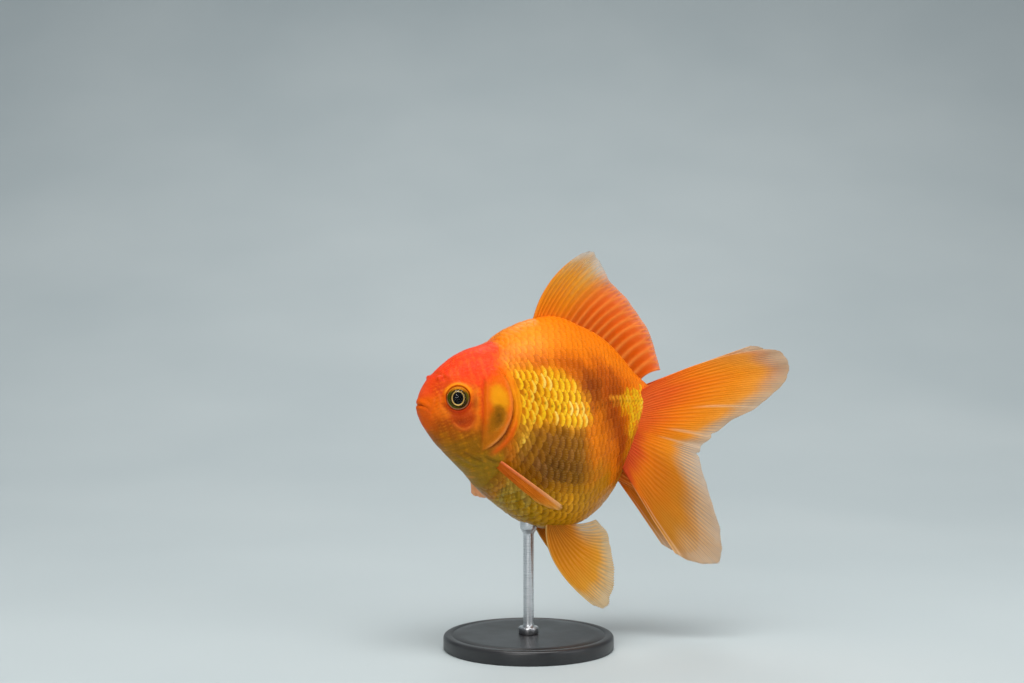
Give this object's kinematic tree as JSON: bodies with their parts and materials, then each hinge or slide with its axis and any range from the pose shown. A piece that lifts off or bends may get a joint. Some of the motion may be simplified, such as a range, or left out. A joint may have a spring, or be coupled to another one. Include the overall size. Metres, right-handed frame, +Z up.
{
  "type": "fancy goldfish model on a display stand",
  "caption": "Still, life-size model of a deep-bodied, double-tailed fancy goldfish, orange and gold, held by a rod on a flat round base.",
  "frame": {"origin": "centre of the flat underside of the display stand's base, under the fish's belly", "axes": "+Z up; the fish looks along -X, so its left side faces -Y and its tail points along +X"},
  "size_m": [0.1683, 0.0775, 0.1687],
  "materials": {
    "head_skin": "wet, smooth skin, red-orange on top and orange-gold below",
    "body_skin": "overlapping metallic gold and orange scales, darker bronze low on the flank",
    "fin": "translucent orange membrane on fine branching rays, paling to whitish edges",
    "eye": "clear and glossy, black pupil in a thin pale-gold ring",
    "stand_black": "satin black",
    "stand_steel": "brushed"
  },
  "bodies": {
    "root": {"head": "head_skin", "lower_jaw": "head_skin", "gill_cover_left": "head_skin", "gill_cover_right": "head_skin", "nostril_left": "head_skin", "nostril_right": "head_skin", "eye_left": "eye", "eye_right": "eye", "trunk": "body_skin", "tail_stalk": "body_skin", "fin_dorsal": "fin", "fin_pectoral_left": "fin", "fin_pectoral_right": "fin", "fin_pelvic_left": "fin", "fin_pelvic_right": "fin", "fin_anal_left": "fin", "fin_anal_right": "fin", "fin_tail_left": "fin", "fin_tail_right": "fin", "stand_base": "stand_black", "stand_rod": "stand_steel"}
  },
  "joints": []
}
